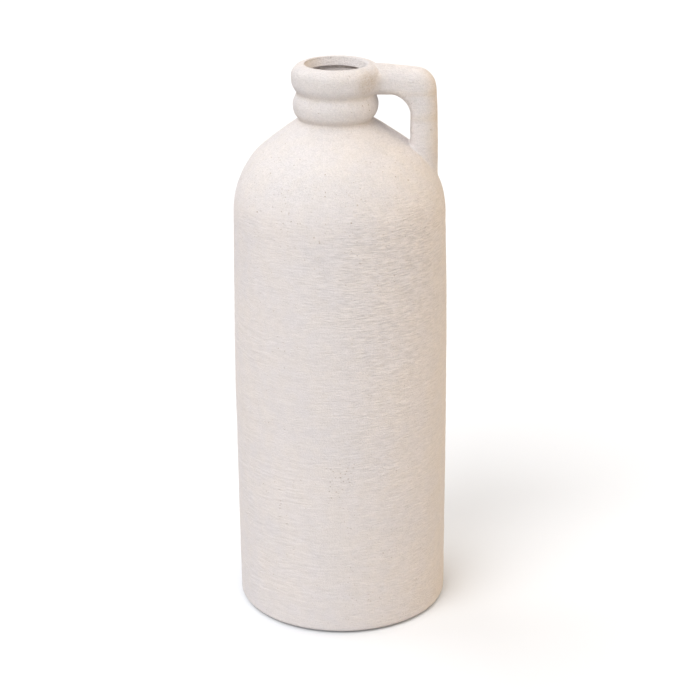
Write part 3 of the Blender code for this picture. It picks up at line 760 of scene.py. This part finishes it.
def floor_material():
    """Plain pale floor, a little whiter to the eye than as a reflector."""
    made = bpy.data.materials.new("pale_floor")
    made.use_nodes = True
    nodes, links = made.node_tree.nodes, made.node_tree.links
    nodes.remove(nodes["Principled BSDF"])
    mix = nodes.new("ShaderNodeMixShader")
    links.new(seen_directly(nodes, links), mix.inputs[0])
    seen = nodes.new("ShaderNodeMixShader")
    seen.inputs[0].default_value = FLOOR_GLOW
    links.new(nodes.new("ShaderNodeEmission").outputs[0], seen.inputs[2])
    links.new(seen.outputs[0], mix.inputs[2])
    for socket, white in ((mix.inputs[1], FLOOR_BOUNCE), (seen.inputs[1], FLOOR_SEEN)):
        matt = nodes.new("ShaderNodeBsdfDiffuse")
        matt.inputs["Color"].default_value = (*white, 1.0)
        links.new(matt.outputs[0], socket)
    links.new(mix.outputs[0], nodes["Material Output"].inputs["Surface"])
    return made


def make_floor():
    """One flat pale floor."""
    low, high = -FLOOR_REACH, FLOOR_REACH
    corners = [(low, low, 0), (high, low, 0), (high, high, 0), (low, high, 0)]
    mesh = bpy.data.meshes.new("floor")
    mesh.from_pydata(corners, [], [(0, 1, 2, 3)])
    mesh.materials.append(floor_material())
    floor = bpy.data.objects.new("floor", mesh)
    bpy.context.scene.collection.objects.link(floor)


def make_world():
    """Faint light from all round, and white where the camera sees past the floor."""
    world = bpy.data.worlds.new("studio")
    world.use_nodes = True
    bpy.context.scene.world = world
    nodes, links = world.node_tree.nodes, world.node_tree.links
    light = nodes["Background"]
    light.inputs[0].default_value = (*SKY, 1.0)
    shown = nodes.new("ShaderNodeBackground")
    shown.inputs[0].default_value = (1.0, 1.0, 1.0, 1.0)
    mix = nodes.new("ShaderNodeMixShader")
    links.new(seen_directly(nodes, links), mix.inputs[0])
    links.new(light.outputs[0], mix.inputs[1])
    links.new(shown.outputs[0], mix.inputs[2])
    links.new(mix.outputs[0], nodes["World Output"].inputs[0])


def make_lamps():
    """Wide, soft suns."""
    for name, (azimuth, elevation, spread, strength, colour) in LAMPS.items():
        lamp = bpy.data.lights.new(name, "SUN")
        lamp.angle, lamp.energy, lamp.color = radians(spread), pi * strength, colour
        made = bpy.data.objects.new(name, lamp)
        a, e = radians(azimuth), radians(elevation)
        way = Vector((sin(a) * cos(e), -cos(a) * cos(e), sin(e)))
        made.rotation_euler = way.to_track_quat("Z", "Y").to_euler()
        bpy.context.scene.collection.objects.link(made)


def make_camera():
    """The photograph's camera."""
    data = bpy.data.cameras.new("camera")
    data.lens, data.sensor_width = CAMERA_LENS, SENSOR
    camera = bpy.data.objects.new("camera", data)
    level = cos(CAMERA_PITCH)
    ahead = Vector((sin(CAMERA_YAW) * level, cos(CAMERA_YAW) * level, -sin(CAMERA_PITCH)))
    right = Vector((cos(CAMERA_YAW), -sin(CAMERA_YAW), 0.0))
    up = right.cross(ahead)
    rolled = cos(CAMERA_ROLL) * right + sin(CAMERA_ROLL) * up
    risen = cos(CAMERA_ROLL) * up - sin(CAMERA_ROLL) * right
    turned = Matrix((rolled, risen, -ahead)).transposed().to_4x4()
    camera.matrix_world = Matrix.Translation(CAMERA_AT) @ turned
    bpy.context.scene.collection.objects.link(camera)
    bpy.context.scene.camera = camera


clay, felt = clay_material(), felt_material()
skin = make_vase(clay)
make_handle(clay, skin)
make_base(clay)
for number in range(1, PAD_COUNT + 1):
    make_pad(number, felt)
make_floor()
make_world()
make_lamps()
make_camera()
bpy.context.scene.view_settings.view_transform = "Standard"
